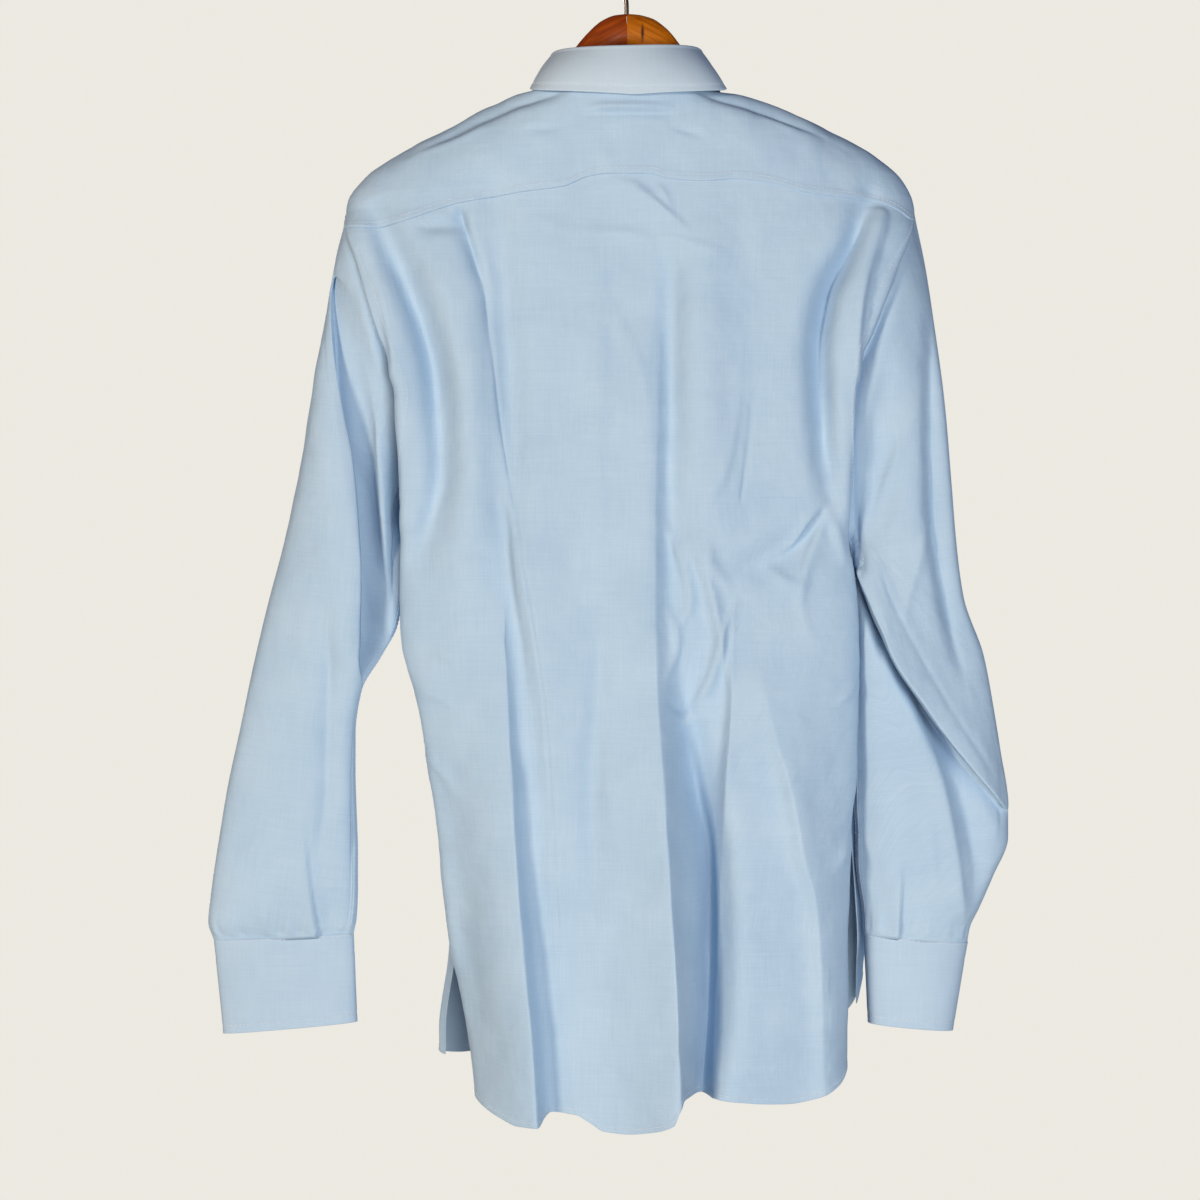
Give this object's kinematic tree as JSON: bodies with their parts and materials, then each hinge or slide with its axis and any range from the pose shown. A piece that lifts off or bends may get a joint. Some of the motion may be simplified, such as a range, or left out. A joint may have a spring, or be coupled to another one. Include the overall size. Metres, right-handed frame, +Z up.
{
  "type": "long sleeve dress shirt on a wooden hanger",
  "caption": "Long sleeve dress shirt of thin cotton, hanging open at neck, hem and cuffs on a two-tone wooden hanger with a wire hook.",
  "frame": {"origin": "inside top of the hanger's hook, where a rail holds it", "axes": "+Z up, +X to the wearer's left, the shirt's front faces -Y and its back +Y"},
  "size_m": [0.649, 0.1582, 0.9525],
  "materials": {
    "shirt_cloth": "light blue cotton poplin with a faint sheen",
    "button": "pearly white",
    "wood_dark": "orange-brown varnished wood",
    "wood_light": "golden varnished wood",
    "hook_wire": "dark drawn steel wire"
  },
  "bodies": {
    "root": {"back": "shirt_cloth", "yoke": "shirt_cloth", "front_left": "shirt_cloth", "front_right": "shirt_cloth", "front_placket": "shirt_cloth", "collar_stand": "shirt_cloth", "collar_leaf": "shirt_cloth", "sleeve_left": "shirt_cloth", "sleeve_right": "shirt_cloth", "sleeve_placket_left": "shirt_cloth", "sleeve_placket_right": "shirt_cloth", "cuff_left": "shirt_cloth", "cuff_right": "shirt_cloth", "button_collar": "button", "button_front_1": "button", "button_front_2": "button", "button_front_3": "button", "button_front_4": "button", "button_front_5": "button", "button_front_6": "button", "button_cuff_left": "button", "button_cuff_right": "button", "hanger_left": "wood_dark", "hanger_right": "wood_light", "hanger_hook": "hook_wire"}
  },
  "joints": []
}
